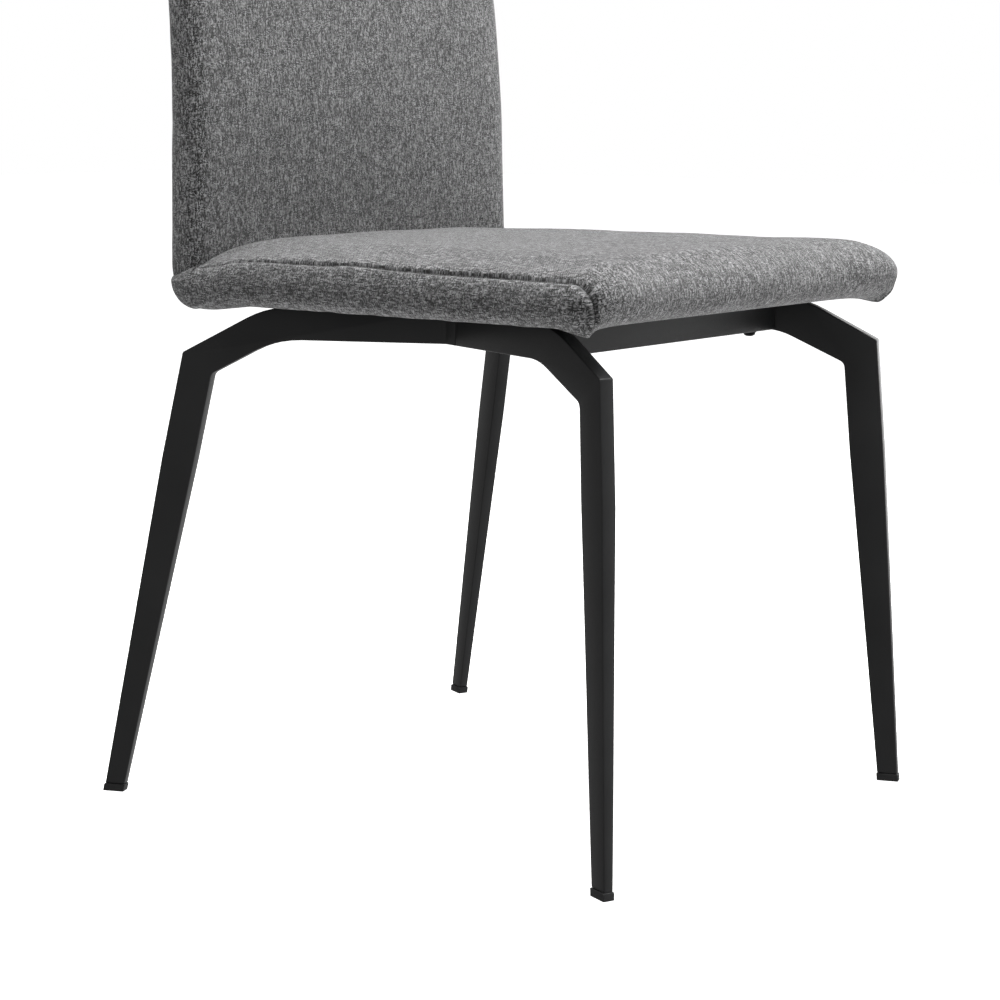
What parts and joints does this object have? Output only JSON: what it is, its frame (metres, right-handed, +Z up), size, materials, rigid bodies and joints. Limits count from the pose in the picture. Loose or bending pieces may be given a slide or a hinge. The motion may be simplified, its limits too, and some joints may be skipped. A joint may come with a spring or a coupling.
{
  "type": "dining chair",
  "caption": "Armless dining chair with an upholstered seat, a tall curved upholstered back and bent, splayed black steel legs.",
  "frame": {"origin": "on the floor under the middle of the four feet", "axes": "+Z up; the sitter faces -Y; +X is to the right when the chair is seen from the front"},
  "size_m": [0.4974, 0.5425, 0.8698],
  "materials": {
    "frame_powder_coat": "satin black powder coat with a very fine texture",
    "foot_plastic": "black moulded plastic, slightly worn underneath",
    "black_fastener_steel": "black oxide finish",
    "zinc_steel": "zinc plated",
    "plywood": "birch plywood, unfinished",
    "foam": "open-cell polyurethane foam",
    "upholstery_fabric": "grey melange plain weave with slubs",
    "lining_fabric": "black non-woven lining"
  },
  "bodies": {
    "root": {"leg_front_left": "frame_powder_coat", "foot_cap_front_left": "foot_plastic", "seat_bolt_front_left": "black_fastener_steel", "bolt_washer_front_left": "black_fastener_steel", "tee_nut_front_left": "zinc_steel", "leg_front_right": "frame_powder_coat", "foot_cap_front_right": "foot_plastic", "seat_bolt_front_right": "black_fastener_steel", "bolt_washer_front_right": "black_fastener_steel", "tee_nut_front_right": "zinc_steel", "leg_rear_left": "frame_powder_coat", "foot_cap_rear_left": "foot_plastic", "seat_bolt_rear_left": "black_fastener_steel", "bolt_washer_rear_left": "black_fastener_steel", "tee_nut_rear_left": "zinc_steel", "leg_rear_right": "frame_powder_coat", "foot_cap_rear_right": "foot_plastic", "seat_bolt_rear_right": "black_fastener_steel", "bolt_washer_rear_right": "black_fastener_steel", "tee_nut_rear_right": "zinc_steel", "front_rail": "frame_powder_coat", "rear_rail": "frame_powder_coat", "seat_board": "plywood", "seat_foam": "foam", "seat_cover": "upholstery_fabric", "seat_side_panel_left": "upholstery_fabric", "seat_side_panel_right": "upholstery_fabric", "dust_cover": "lining_fabric", "back_board": "plywood", "back_front_pad": "foam", "back_rear_pad": "foam", "back_front_cover": "upholstery_fabric", "back_rear_cover": "upholstery_fabric", "back_bracket_left": "zinc_steel", "bracket_screw_left_1": "zinc_steel", "bracket_screw_left_2": "zinc_steel", "bracket_screw_left_3": "zinc_steel", "bracket_screw_left_4": "zinc_steel", "back_bracket_right": "zinc_steel", "bracket_screw_right_1": "zinc_steel", "bracket_screw_right_2": "zinc_steel", "bracket_screw_right_3": "zinc_steel", "bracket_screw_right_4": "zinc_steel"}
  },
  "joints": []
}
